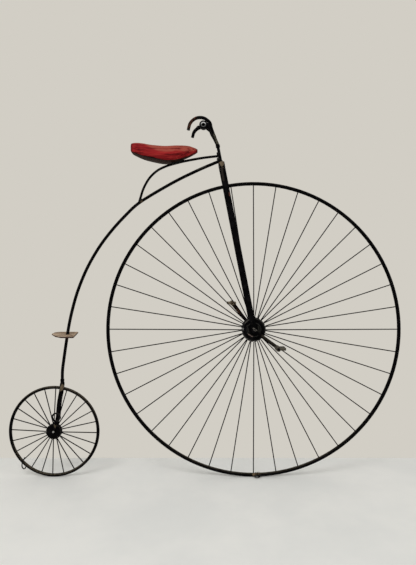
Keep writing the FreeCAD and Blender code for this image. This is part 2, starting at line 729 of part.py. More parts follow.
def handlebar_points(word, side):
    """From inside the collar's top, out to the side, and round the curl to its tip."""
    stem_share, early_share, spread_share = 0.5, 0.12, 0.75
    tip_turn, tip_stretch = 1.11, 1.07
    corner_count = 4
    radius = getattr(size, f"handlebar_curl_radius_{word}")
    foot_y = size.handlebar_foot_half_gap * side
    side_y = size.handlebar_half_width * side
    end = math.radians(size.handlebar_curl_end)
    turn = end / corner_count

    def curl_point(angle, reach):
        return (reach * math.cos(angle) - radius - size.handlebar_curl_lead, side_y,
                reach * math.sin(angle) + size.handlebar_base + size.handlebar_curl_rise)

    start = curl_point(0, radius)
    foot = (0, foot_y, size.handlebar_base)
    knee = (start[0] * stem_share, foot_y + (side_y - foot_y) * early_share,
            size.handlebar_base + (start[2] - size.handlebar_base) * stem_share)
    below = crossing([between(knee, foot, 2), foot], 2, size.handlebar_base - size.handlebar_bar / 2)
    corners = [curl_point(turn * (number + 1 / 2), radius / math.cos(turn / 2))
               for number in range(corner_count)]
    return [below, knee, (start[0], foot_y + (side_y - foot_y) * spread_share, start[2]),
            *corners, curl_point(end * tip_turn, radius * tip_stretch)]


def handlebar_arm(word, side):
    """A rod that rises from the collar, spreads to its side and curls over backwards.  It is
    trimmed flat on the collar."""
    rod = bent_rod(f"handlebar_{word}", handlebar_points(word, side), "handlebar_bar / 2")
    trim = box(f"handlebar_{word}_trim", "4 * handlebar_bar", "4 * handlebar_bar", "handlebar_bar",
               "-2 * handlebar_bar", "-2 * handlebar_bar", "handlebar_base - handlebar_bar")
    item = cut(f"handlebar_{word}_piece", rod, trim)
    item.Placement = fork_place
    keep(item, f"handlebar_{word}")


def handlebar_brace():
    """A short eye between the curls, open towards the right, on a tongue that rises from
    between the arms."""
    half = "handlebar_eye_length / 2"
    tube = cylinder_across("handlebar_eye_tube", "handlebar_eye_diameter / 2", f"-{half}",
                           "handlebar_eye_length")
    eased = rounded("handlebar_eye_eased", tube, size.handlebar_eye_rounding,
                    lambda edge: edge.Closed and edge.BoundBox.YLength < size.fit)
    eased.Placement = shifted(-size.handlebar_eye_back, 0, size.handlebar_base + size.handlebar_eye_rise)
    start = (-size.handlebar_curl_lead / 2, size.handlebar_base + size.handlebar_curl_rise / 2)
    end = (-size.handlebar_eye_back, size.handlebar_base + size.handlebar_eye_rise)
    tongue = bent_rod("handlebar_tongue", along_shares(TONGUE_SHARES, start, end), "handlebar_tongue / 2")
    arms = [bent_rod(f"handlebar_space_{word}", handlebar_points(word, side), "handlebar_bar / 2 + fit")
            for word, side in SIDES]
    bore = cylinder_across("handlebar_eye_bore", "handlebar_eye_bore / 2", f"-{half} - cut_over",
                           "handlebar_eye_depth + cut_over")
    bind(bore, {"Placement.Base.x": "-handlebar_eye_back",
                "Placement.Base.z": "handlebar_base + handlebar_eye_rise"})
    item = cut("handlebar_brace_piece", fuse("handlebar_brace_solid", eased, tongue), bore, *arms)
    item.Placement = fork_place
    keep(item, "handlebar_brace")


# Frame, in the bicycle's frame
def head_tube():
    """The tube that the steerer turns in, with a cup at its foot."""
    tube = cylinder_up("head_tube_outer", "head_tube_diameter / 2", "head_tube_base", "head_tube_length")
    cup = cylinder_up("head_tube_cup", "head_cup_diameter / 2", "head_tube_base", "head_cup_height")
    bore = cylinder_up("head_tube_bore", "steerer_diameter / 2 + 2 * fit",
                       "head_tube_base - cut_over", "head_tube_length + 2 * cut_over")
    item = cut("head_tube_piece", fuse("head_tube_solid", tube, cup), bore)
    item.Placement = fork_place
    keep(item, "head_tube")


def head_space(name):
    """What the head tube takes out of the bars that meet it."""
    tube = cylinder_up(name + "_tube", "head_tube_diameter / 2 + fit", "head_height", "2 * head_tube_length")
    cup = cylinder_up(name + "_cup", "head_cup_diameter / 2 + fit", "head_height",
                      "head_cup_height + end_gap + fit")
    item = fuse(name, tube, cup)
    item.Placement = shifted(0, 0, size.front_axle_height).multiply(turned((0, 1, 0), -size.rake))
    return item


def backbone():
    rod = bent_rod("backbone", backbone_points, "backbone_bar / 2")
    item = cut("backbone_piece", rod, head_space("backbone_head"))
    item.Placement = bicycle_place
    keep(item, "backbone")


def saddle_bar():
    rod = bent_rod("saddle_bar", saddle_bar_points, "saddle_bar / 2")
    spine = bent_rod("saddle_bar_foot", backbone_points[1:7], "backbone_bar / 2 + fit")
    item = cut("saddle_bar_piece", rod, head_space("saddle_bar_head"), spine)
    item.Placement = bicycle_place
    keep(item, "saddle_bar")


def saddle_section(station, half_width, low_half_width, top, edge):
    """A domed top, sides that lean in and a slight keel, as a closed wire, measured from the
    top of the middle section."""
    dome_point_count = 9
    middle, _, _, middle_top, _ = SADDLE_MIDDLE_SHARES
    x = (middle - station) * size.saddle_length
    half = half_width * size.saddle_half_width
    low_half = low_half_width * size.saddle_half_width
    high = (middle_top - top) * size.saddle_thickness
    low = (middle_top - edge) * size.saddle_thickness
    wall = low + (high - low) * SADDLE_WALL_SHARE
    turns = [math.pi * number / (dome_point_count - 1) for number in range(dome_point_count)]
    dome = [(half * math.cos(t), wall + (high - wall) * math.sin(t)) for t in turns]
    side = [(half - (half - low_half) * across, wall - (wall - low) * down)
            for across, down in SADDLE_SIDE_SHARES]
    around = side[::-1] + dome + [(-y, z) for y, z in side]
    curve = Part.BSplineCurve()
    curve.interpolate(Points=[VECTOR(x, y, z) for y, z in around])
    keel = VECTOR(x, 0, low - low_half * SADDLE_KEEL_SHARE)
    return Part.Wire([curve.toShape(), Part.makeLine(curve.EndPoint, keel),
                      Part.makeLine(keel, curve.StartPoint)])


def saddle():
    """A carved wooden leaf, notched where it sits on its bar."""
    solid = doc.addObject("Part::Feature", "saddle_solid")
    solid.Shape = Part.makeLoft([saddle_section(*shares) for shares in SADDLE_SHARES], True, False)
    solid.Placement = shifted(saddle_x, 0, saddle_z)
    notch = bent_rod("saddle_notch", saddle_bar_points, "saddle_bar / 2 + fit")
    item = cut("saddle_piece", solid, notch)
    item.Placement = bicycle_place
    keep(item, "saddle")


def step_plate():
    """A thin board with rounded corners that the backbone passes through, tipped towards
    the right."""
    outline = [VECTOR(-back * size.step_length, across * size.step_width, 0)
               for back, across in STEP_PLAN_SHARES]
    board = doc.addObject("Part::Feature", "step_board")
    board.Shape = Part.Face(Part.makePolygon(outline + outline[:1])).extrude(
        VECTOR(0, 0, size.step_thickness))
    corners = rounded("step_corners", board, size.step_corner_radius,
                      lambda edge: edge.BoundBox.ZLength > size.step_thickness / 2)
    edges = rounded("step_edges", corners, size.step_edge_radius,
                    lambda edge: edge.BoundBox.ZLength < size.step_thickness / 2)
    front = crossing(backbone_points, 2, size.step_height)[0] + size.step_front_lead
    edges.Placement = shifted(front, 0, size.step_height).multiply(turned((1, 0, 0), size.step_tilt))
    hole = bent_rod("step_hole", backbone_points[7:], "backbone_bar / 2 + fit")
    item = cut("step_piece", edges, hole)
    item.Placement = bicycle_place
    keep(item, "step_plate")


def rear_fork_points():
    """Up the right blade, in an arch over the wheel and down the left blade."""
    top_x, _, top = rear_blade_points[0]
    shoulder = top - size.rear_fork_half_gap / 2
    right = [(top_x, -size.rear_fork_half_gap, shoulder)]
    right += [(x, -size.rear_fork_half_gap, z) for x, _, z in rear_blade_points[1:]]
    left = [(x, -y, z) for x, y, z in right]
    # The arch's arc ends a little under its corner.
    crest = top + size.rear_fork_half_gap / 8
    return right[::-1] + [(top_x, 0, crest)] + left


def rear_ring():
    """A ring of wire flat on the outside of the right blade."""
    height = size.rear_axle_height + size.rear_ring_height
    side = size.rear_fork_half_gap + (size.rear_fork_thickness + size.rear_ring_wire) / 2 - size.end_gap
    line_x = crossing(rear_blade_points, 2, height)[0]
    return ring("rear_ring", "rear_ring_radius", "rear_ring_wire / 2",
                shifted(line_x - size.rear_ring_back, -side, height))


def rear_fork():
    """One flat bar bent over the wheel, with an eye on the axle at each end and a ring of
    wire on the right blade."""
    strip = bent_strip("rear_fork", rear_fork_points(), "rear_fork_width", "rear_fork_thickness")
    solids = [strip, rear_ring()]
    bores = []
    for word, side in SIDES:
        eye = cylinder_on_side(f"rear_fork_eye_{word}", side, "rear_fork_eye_diameter / 2",
                               "rear_eye_inner", "rear_fork_eye_thickness", -size.wheelbase)
        bore = cylinder_on_side(f"rear_fork_bore_{word}", side, "rear_axle_diameter / 2 + fit",
                                "rear_eye_inner - cut_over / 2", "rear_fork_eye_thickness + cut_over",
                                -size.wheelbase)
        for item in (eye, bore):
            bind(item, {"Placement.Base.z": "rear_axle_height"})
        solids.append(eye)
        bores.append(bore)
    item = cut("rear_fork_piece", fuse("rear_fork_solid", *solids), *bores)
    item.Placement = bicycle_place
    keep(item, "rear_fork")


def rear_fork_crown():
    """The boss on top of the rear fork, with the socket that takes the backbone."""
    boss = cylinder_up("rear_boss", "rear_socket_diameter / 2", "rear_fork_top",
                       "rear_socket_base - rear_fork_top + rear_socket_depth")
    boss.Placement.Base.x = rear_fork_x
    arch = bent_strip("rear_boss_arch", rear_fork_points(), "rear_fork_width + 2 * fit",
                      "rear_fork_thickness + 2 * fit")
    socket = cylinder_up("rear_socket_bore", "backbone_bar / 2 + fit", "rear_socket_base",
                         "rear_socket_depth + cut_over")
    socket.Placement.Base.x = rear_fork_x
    item = cut("rear_fork_crown_piece", boss, arch, socket)
    item.Placement = bicycle_place
    keep(item, "rear_fork_crown")


def rear_axle():
    """A pin through the hub and both eyes, with a cap at each end."""
    half = "rear_axle_half_length"
    pin = cylinder_across("rear_axle_pin", "rear_axle_diameter / 2", f"-{half}", f"2 * {half}")
    caps = [cylinder_on_side(f"rear_axle_cap_{word}", side, "rear_axle_cap_diameter / 2",
                             f"{half} - rear_axle_cap_length", "rear_axle_cap_length")
            for word, side in SIDES]
    item = fuse("rear_axle_piece", pin, *caps)
    item.Placement = rear_wheel_place
    keep(item, "rear_axle")


def build():
    wheel_set("front", "fit", front_wheel_place)
    front_rim_tie()
    front_axle()
    for word, side in SIDES:
        crank(word, side)
        pedal(word, side)
        fork_blade(word, side)
        handlebar_arm(word, side)
    fork_crown()
    steerer()
    handlebar_collar()
    handlebar_brace()
    head_tube()
    backbone()
    saddle_bar()
    saddle()
    step_plate()
    rear_fork()
    rear_fork_crown()
    rear_axle()
    wheel_set("rear", "2 * fit", rear_wheel_place)
    rear_rim_hook()


build()
doc.recompute()

for item in doc.Objects:
    if "Invalid" in item.State or "Error" in item.State:
        raise RuntimeError(f"{item.Name} failed: {item.State}")
for item in kept:
    if item.Shape.isNull() or not item.Shape.isValid() or not item.Shape.Solids:
        raise RuntimeError(f"{item.Label} has no valid solid")

os.makedirs("parts", exist_ok=True)
for item in kept:
    item.Shape.exportStep(os.path.join("parts", item.Label + ".step"))
    print(f"{item.Label}: {len(item.Shape.Solids)} solids, {item.Shape.Volume:.0f} mm3")
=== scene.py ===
"""The looks of a decorative penny farthing: worn black iron, red and tan wood, braze and rust."""

from math import cos, radians, sin, sqrt, tau

import bmesh
import bpy
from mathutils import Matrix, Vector, noise

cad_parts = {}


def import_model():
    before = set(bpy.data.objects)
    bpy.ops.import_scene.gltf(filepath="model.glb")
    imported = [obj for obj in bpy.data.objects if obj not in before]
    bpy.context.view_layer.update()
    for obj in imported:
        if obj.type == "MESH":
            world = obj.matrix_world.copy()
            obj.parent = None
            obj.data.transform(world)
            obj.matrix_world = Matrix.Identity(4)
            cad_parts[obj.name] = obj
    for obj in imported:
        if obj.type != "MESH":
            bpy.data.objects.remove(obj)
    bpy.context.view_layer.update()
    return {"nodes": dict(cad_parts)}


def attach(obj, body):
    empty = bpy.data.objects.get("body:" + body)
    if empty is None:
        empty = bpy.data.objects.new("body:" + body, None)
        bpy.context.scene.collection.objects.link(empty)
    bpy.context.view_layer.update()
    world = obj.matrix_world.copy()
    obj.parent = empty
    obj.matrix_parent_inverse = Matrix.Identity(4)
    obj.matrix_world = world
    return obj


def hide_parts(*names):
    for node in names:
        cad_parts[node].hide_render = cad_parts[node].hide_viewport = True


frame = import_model()
nodes = frame["nodes"]

# Every length below is in metres unless it says otherwise, in the bicycle's frame: +X forward,
# +Y to its left, +Z up, from the top of the saddle. MM turns millimetres into metres.
MM = 0.001
FRONT_AXLE = Vector((176.19, 0, -363.11)) * MM
REAR_AXLE = Vector((-219.22, 0, -565.51)) * MM
GROUND = -655.41 * MM
# The middle of the handlebar's eye, and that of the wire loop on the rear fork
BRACE_BORE = Vector((77.05, 0, 41.55)) * MM
REAR_RING = Vector((-212.16, -8.75, -535.1)) * MM
BACKBONE_RADIUS = 3 * MM
SADDLE_BAR_RADIUS = 2.35 * MM

# The camera stood level, 0.84 m from the bicycle's middle plane, and looked straight at it
CAMERA_PLACE = Vector((107.8, -844, -270.4)) * MM
CAMERA_LENS = 27.08
CAMERA_FILM = 36
CAMERA_SHIFT = -0.0194
# One picture element of the photograph on the middle plane, and the front axle and ground in it
PIXEL = 1.985 * MM
AXLE_ACROSS = 253.46
GROUND_DOWN = 476.4


def seen(across, down, depth=0.0):
    """The point at that place in the photograph, that far behind the bicycle's middle plane.

    A negative depth is in front of the plane, on the side that the photograph shows.
    """
    middle = Vector((FRONT_AXLE.x + (across - AXLE_ACROSS) * PIXEL, 0,
                     GROUND + (GROUND_DOWN - down) * PIXEL))
    share = (depth - CAMERA_PLACE.y) / -CAMERA_PLACE.y
    return CAMERA_PLACE + (middle - CAMERA_PLACE) * share


def shade(red, green, blue):
    """A colour as a screen shows it, from 0 to 255, in the renderer's own numbers, by sRGB."""
    def linear(value):
        part = value / 255
        return part / 12.92 if part <= 0.04045 else ((part + 0.055) / 1.055) ** 2.4
    return (linear(red), linear(green), linear(blue), 1.0)


class Finish:
    """One material. Each method adds nodes and gives a socket that the next one can take."""

    def __init__(self, name):
        self.material = bpy.data.materials.new(name)
        self.material.use_nodes = True
        self.tree = self.material.node_tree
        self.shader = self.tree.nodes["Principled BSDF"]
        self.place = self.add("ShaderNodeTexCoord").outputs["Object"]

    def add(self, kind, **settings):
        node = self.tree.nodes.new(kind)
        for name, value in settings.items():
            setattr(node, name, value)
        return node

    def put(self, socket, value):
        if isinstance(value, bpy.types.NodeSocket):
            self.tree.links.new(value, socket)
        else:
            socket.default_value = value

    def math(self, operation, *values, clamp=False):
        node = self.add("ShaderNodeMath", operation=operation, use_clamp=clamp)
        for socket, value in zip(node.inputs, values):
            self.put(socket, value)
        return node.outputs[0]

    def vector(self, operation, *values):
        node = self.add("ShaderNodeVectorMath", operation=operation)
        for socket, value in zip(node.inputs, values):
            self.put(socket, value)
        return node.outputs["Value" if operation in ("DISTANCE", "DOT_PRODUCT") else 0]

    def times(self, first, second):
        return self.math("MULTIPLY", first, second)

    def parts(self, place=None):
        node = self.add("ShaderNodeSeparateXYZ")
        self.put(node.inputs[0], place or self.place)
        return tuple(node.outputs)

    def joined(self, *parts):
        node = self.add("ShaderNodeCombineXYZ")
        for socket, value in zip(node.inputs, parts):
            self.put(socket, value)
        return node.outputs[0]

    def noise(self, scale, detail, roughness, place=None, warp=0.0):
        node = self.add("ShaderNodeTexNoise")
        self.put(node.inputs["Vector"], place or self.place)
        node.inputs["Scale"].default_value = scale
        node.inputs["Detail"].default_value = detail
        node.inputs["Roughness"].default_value = roughness
        node.inputs["Distortion"].default_value = warp
        return node.outputs[0]

    def rise(self, value, low, high):
        """0 below low and 1 above high, turning smoothly between them."""
        node = self.add("ShaderNodeMapRange", interpolation_type="SMOOTHSTEP")
        for socket, number in zip(node.inputs, (value, low, high, 0.0, 1.0)):
            self.put(socket, number)
        return node.outputs[0]

    def mix(self, share, first, second):
        node = self.add("ShaderNodeMix", data_type="RGBA")
        self.put(node.inputs[0], share)
        self.put(node.inputs[6], first)
        self.put(node.inputs[7], second)
        return node.outputs[2]

    def tint(self, colour, mask, strength, other):
        """The colour, turned towards the other one by that strength where the mask is 1."""
        return self.mix(self.times(mask, strength), colour, other)

    def blend(self, share, first, second):
        """Two numbers mixed by a share."""
        node = self.add("ShaderNodeMix", data_type="FLOAT")
        self.put(node.inputs[0], share)
        self.put(node.inputs[2], first)
        self.put(node.inputs[3], second)
        return node.outputs[0]

    def near(self, first, last, reach, ragged):
        """1 within reach of the line between two points and 0 beyond it, with a ragged edge."""
        run = last - first
        leaving = self.vector("SUBTRACT", self.place, tuple(first))
        share = self.math("DIVIDE", self.vector("DOT_PRODUCT", leaving, tuple(run)),
                          run.length_squared, clamp=True)
        foot = self.vector("MULTIPLY", share, tuple(run))
        away = self.vector("DISTANCE", leaving, foot)
        uneven = self.math("MULTIPLY_ADD", ragged, -EDGE_RAGGED * reach, away)
        return self.math("SUBTRACT", 1.0, self.rise(uneven, EDGE_FULL * reach, EDGE_END * reach))

    def curve(self, value, low, high, points):
        """A height that follows a smooth line through points, as value runs from low to high."""
        heights = [point[1] for point in points]
        base, span = min(heights), max(heights) - min(heights)
        node = self.add("ShaderNodeFloatCurve")
        line = node.mapping.curves[0]
        shares = [((across - low) / (high - low), (height - base) / span)
                  for across, height in points]
        line.points[0].location = shares[0]
        line.points[1].location = shares[-1]
        for share in shares[1:-1]:
            line.points.new(*share)
        node.mapping.update()
        self.put(node.inputs["Value"],
                 self.math("DIVIDE", self.math("SUBTRACT", value, low), high - low, clamp=True))
        return self.math("MULTIPLY_ADD", node.outputs[0], span, base)

    def normal(self):
        return self.parts(self.add("ShaderNodeTexCoord").outputs["Normal"])

    def shine(self, level):
        self.shader.inputs["Specular IOR Level"].default_value = level

    def done(self, colour, roughness, height=None, depth=None, strength=None):
        self.put(self.shader.inputs["Base Color"], colour)
        self.put(self.shader.inputs["Roughness"], roughness)
        if height is not None:
            bump = self.add("ShaderNodeBump")
            bump.inputs["Strength"].default_value = strength
            bump.inputs["Distance"].default_value = depth
            self.put(bump.inputs["Height"], height)
            self.put(self.shader.inputs["Normal"], bump.outputs[0])
        return self.material


BLACK = shade(4, 4, 5)
DARK_GREY = shade(17, 16, 18)
# Dust on the tops, which also stands as a painted highlight from the light above
DUST_AND_SHEEN = shade(104, 95, 80)
RUST_BROWN = shade(66, 45, 34)
BRAZE_TAN = shade(128, 109, 86)
RUST_ORANGE = shade(104, 66, 50)
RUST_PINK = shade(128, 84, 74)
WORN_GREY = shade(104, 100, 92)
# Painted glints: light caught on the iron, painted into its colour
GLINT_GREY = shade(176, 176, 172)
SPOKE_PURPLE = shade(28, 21, 27)
# The painted highlight along the near crank's upper edge and across the axle's end
CRANK_HIGHLIGHT_GREY = shade(132, 128, 120)
FORK_TAN = shade(104, 94, 76)

# How deep the hammered surface is. How dark and how rough a worn spot is, and how much dust
# lies on the iron that has spots, which also stands as a painted highlight on what faces up
HAMMERED = 0.35 * MM
SPOT_DARK = 0.45
SPOT_ROUGHNESS = 0.66
SPOT_DUST_AND_SHEEN = 0.12
# A spot's edge, as shares of its reach: how far noise moves it, where it begins and where it ends
EDGE_RAGGED = 1.4
EDGE_FULL = 0.05
EDGE_END = 0.55


def iron(name, spots=(), base=BLACK, worn=DARK_GREY, rust=0.25, gloss=0.4, dust_and_sheen=0.16, shine=0.02,
         top=(0.45, 0.9)):
    """Painted wrought iron: uneven gloss, a hammered surface, flecks of rust, a little dust on
    what faces up that is also a painted highlight from above, and spots of wear, braze and rust,
    some of them painted glints.

    Each spot is a short line between two points, its reach in millimetres, its colour and how
    strong it is. The dust and painted highlight start and are full where the upward part of the
    normal has the values in top.
    """
    finish = Finish(name)
    broad = finish.noise(90, 4, 0.6)
    small = finish.noise(420, 5, 0.65)
    fine = finish.noise(1500, 3, 0.6)
    colour = finish.mix(finish.rise(broad, 0.45, 0.75), base, worn)
    colour = finish.tint(colour, finish.rise(small, 0.58, 0.74), rust, RUST_BROWN)
    # Pale on what faces up: dust, and a painted highlight where the light falls from above
    settled_and_lit = finish.times(finish.rise(finish.normal()[2], *top), finish.rise(small, 0.36, 0.62))
    colour = finish.tint(colour, settled_and_lit, dust_and_sheen, DUST_AND_SHEEN)
    roughness = finish.blend(finish.rise(small, 0.35, 0.7), gloss - 0.08, gloss + 0.16)
    for first, last, reach, tint, strength in spots:
        mask = finish.times(finish.near(first, last, reach * MM, small), strength)
        dark = tuple(SPOT_DARK * part for part in tint[:3]) + (1.0,)
        colour = finish.mix(mask, colour, finish.mix(finish.rise(fine, 0.35, 0.68), tint, dark))
        roughness = finish.blend(mask, roughness, SPOT_ROUGHNESS)
    height = finish.math("MULTIPLY_ADD", small, 0.7, finish.times(fine, 0.3))
    finish.shine(shine)
    return finish.done(colour, roughness, height, HAMMERED, 0.5)


def grained(finish, along, across, through, line=1.0):
    """Wood grain in three layers: broad bands, thin lines and pores, all long and narrow."""
    def layer(lengthwise, crosswise, detail, roughness, warp=0.0):
        place = finish.joined(finish.times(along, lengthwise), finish.times(across, crosswise),
                              finish.times(through, crosswise))
        return finish.noise(1.0, detail, roughness, place, warp)

    return (layer(9, 95, 3, 0.5, 0.4), layer(16, 330 * line, 4, 0.62, 0.25),
            layer(60, 1500, 2, 0.5))


# Half the seat's length, how far its grain dips in the middle, how ragged the edge of its pale
# top is, worn and painted lighter by light from above, where its dark ends begin and are full,
# and where the underside's brown, darkened with painted shade, ends and is full
SEAT_REACH = 65 * MM
SEAT_DIP = 9 * MM
SEAT_RAGGED = 5 * MM
SEAT_DARK_END = (60 * MM, 64.5 * MM)
SEAT_BROWN = (14.5 * MM, 12 * MM)
# Where the seat's stain ends on the photographed side and where its salmon top ends, worn and
# painted lighter where the light falls, as places in the photograph, and the depths at which
# those two edges lie
SEAT_SIDE_DEPTH = -16 * MM
SEAT_TOP_DEPTH = -14 * MM
STAIN_ENDS = ((131, 150.8), (137, 153), (144, 155.6), (152, 157), (158, 158.7), (165, 159.9),
              (176, 159.3), (186, 157.2), (193, 154.7), (197.4, 151.6))
WORN_LIT_TOP_ENDS = ((131, 142), (140, 143), (148, 146), (154, 149.4), (161, 151.6), (169, 151.9),
             (178, 150.6), (186, 151.3), (193, 150), (197.4, 147.6))


def saddle_wood():
    """Red stain over lengthwise grain that follows the dip of the seat, pale on top from wear and
    painted light, with painted shade below.
    """
    finish = Finish("red_wood")
    x, y, z = finish.parts()
    reach = finish.math("DIVIDE", x, SEAT_REACH)
    dip = finish.times(finish.times(reach, reach), SEAT_DIP)
    level = finish.math("SUBTRACT", z, dip)
    bands, lines, pores = grained(finish, x, y, level)

    def above(places, depth):
        """How high above the line through those places in the photograph a point is."""
        points = [seen(across, down, depth) for across, down in places]
        height = finish.curve(x, points[0].x, points[-1].x,
                              [(point.x, point.z) for point in points])
        return finish.math("SUBTRACT", z, height)

    colour = finish.mix(finish.rise(bands, 0.35, 0.66), shade(124, 25, 28), shade(160, 38, 40))
    colour = finish.tint(colour, finish.rise(lines, 0.5, 0.64), 0.8, shade(62, 12, 13))
    colour = finish.tint(colour, finish.rise(lines, 0.48, 0.36), 0.4, shade(178, 62, 54))
    # The salmon top: wear, and painted light where the rounded top faces up to the light
    ragged = finish.math("MULTIPLY_ADD", bands, SEAT_RAGGED, -SEAT_RAGGED / 2)
    worn = finish.rise(finish.math("ADD", above(WORN_LIT_TOP_ENDS, SEAT_TOP_DEPTH), ragged),
                       -1.6 * MM, 2 * MM)
    worn = finish.times(worn, finish.rise(lines, 0.66, 0.48))
    colour = finish.tint(colour, worn, 0.66, shade(156, 86, 70))
    # The ends and the low edge are dark, and the underside is brown and bare of stain; the
    # near-black low edge and the darkness of the underside are painted shade
    ends = finish.rise(finish.math("ABSOLUTE", x), *SEAT_DARK_END)
    colour = finish.tint(colour, ends, 0.75, shade(62, 12, 14))
    stain = above(STAIN_ENDS, SEAT_SIDE_DEPTH)
    flat = finish.rise(finish.normal()[2], -0.8, -0.92)
    below = finish.math("MAXIMUM", finish.rise(stain, 0.5 * MM, -0.2 * MM), flat)
    colour = finish.mix(below, colour, shade(15, 5, 5))
    brown = finish.mix(lines, shade(16, 8, 7), shade(60, 36, 28))
    colour = finish.tint(colour, flat, finish.rise(finish.math("ABSOLUTE", y), *SEAT_BROWN), brown)
    roughness = finish.blend(finish.rise(lines, 0.3, 0.7), 0.5, 0.66)
    finish.shine(0.03)
    height = finish.math("MULTIPLY_ADD", lines, 0.7, finish.times(pores, 0.3))
    return finish.done(colour, roughness, height, 0.5 * MM, 0.55)


# The point of the figure in the step plate's grain: its place in the photograph, how far it is to
# the right of the middle plane, how wide the figure opens, and how strongly and how far it
# presses the grain aside
FIGURE_POINT = (75, 334.5)
FIGURE_ASIDE = 12 * MM
FIGURE_OPENING = 1.1
FIGURE_PRESS = 50 * MM * MM
FIGURE_REACH = 4 * MM
# Where the darker near edge of the step plate begins and is full, along the axles
STEP_EDGE = (-19.5 * MM, -21.6 * MM)


def step_wood():
    """Bare tan board with pale grain, a pointed figure near its front end, and cut ends, edges and
    underside darkened partly by painted shade.
    """
    finish = Finish("tan_wood")
    x, y, z = finish.parts()
    behind = finish.math("SUBTRACT", seen(*FIGURE_POINT).x, x)
    aside = finish.math("ABSOLUTE", finish.math("ADD", y, FIGURE_ASIDE))
    reach = finish.math("ADD", FIGURE_REACH, finish.math("ABSOLUTE", behind))
    level = finish.math("ADD", y, finish.math("DIVIDE", FIGURE_PRESS, reach))
    bands, lines, pores = grained(finish, x, level, z, 0.7)
    colour = finish.mix(finish.rise(bands, 0.38, 0.62), shade(136, 114, 92), shade(192, 168, 142))
    colour = finish.tint(colour, finish.rise(lines, 0.5, 0.62), 0.7, shade(88, 66, 50))
    colour = finish.tint(colour, finish.rise(lines, 0.48, 0.36), 0.5, shade(212, 190, 164))
    figure = finish.math("SUBTRACT", finish.times(aside, FIGURE_OPENING), behind)
    figure = finish.times(finish.rise(figure, -2.5 * MM, -0.5 * MM),
                          finish.rise(figure, 2.2 * MM, 0.4 * MM))
    colour = finish.tint(colour, figure, 0.7, shade(92, 62, 44))
    # The front end, the near edge, the other edges and the underside are darker: partly cut grain,
    # partly painted shade on the faces turned away from the light
    forward, _, upward = finish.normal()
    colour = finish.tint(colour, finish.rise(forward, 0.3, 0.6), 1.0, shade(50, 32, 26))
    colour = finish.tint(colour, finish.rise(y, *STEP_EDGE), 0.9, shade(56, 36, 30))
    colour = finish.tint(colour, finish.rise(upward, 0.75, 0.3), 1.0, shade(56, 36, 28))
    colour = finish.tint(colour, finish.rise(upward, -0.3, -0.8), 0.8, shade(78, 50, 38))
    roughness = finish.blend(lines, 0.6, 0.78)
    finish.shine(0.3)
    height = finish.math("MULTIPLY_ADD", lines, 0.7, finish.times(pores, 0.3))
    return finish.done(colour, roughness, height, 0.35 * MM, 0.6)


def pedal_wood(name, pale, deep):
    """Weathered grey tan wood, grain along the bicycle, flecked with dirt, with painted shade
    underneath.
    """
    finish = Finish(name)
    x, y, z = finish.parts()
    bands, lines, pores = grained(finish, x, y, z, 1.3)
    dirt = finish.noise(320, 4, 0.6)
    colour = finish.mix(finish.rise(bands, 0.34, 0.66), deep, pale)
    colour = finish.tint(colour, finish.rise(lines, 0.5, 0.66), 0.6, shade(50, 43, 35))
    colour = finish.tint(colour, finish.rise(dirt, 0.46, 0.64), 0.85, shade(30, 26, 22))
    # Painted shade on the faces turned downwards
    shaded_underneath = finish.rise(finish.normal()[2], 0.1, -0.5)
    colour = finish.tint(colour, shaded_underneath, 0.85, shade(34, 29, 24))
    roughness = finish.blend(lines, 0.62, 0.8)
    finish.shine(0.25)
    height = finish.math("MULTIPLY_ADD", lines, 0.6, finish.times(pores, 0.4))
    return finish.done(colour, roughness, height, 0.4 * MM, 0.6)


# The depths of the faces that the photograph shows. All lie in front of the middle plane
BLADE = -15.8 * MM
ARM = -23 * MM
HUB = -12 * MM
CRANK = -23.1 * MM
REAR = -7.5 * MM


def streak(places, depth, reach, tint, strength):
    """A mark from one place in the photograph to another: wear, braze or rust, and on some pieces a
    painted highlight. It may change depth on the way.

    Its reach is in millimetres.
    """
    across, down, last_across, last_down = places
    first, last = depth if isinstance(depth, tuple) else (depth, depth)
    return (seen(across, down, first), seen(last_across, last_down, last), reach, tint, strength)


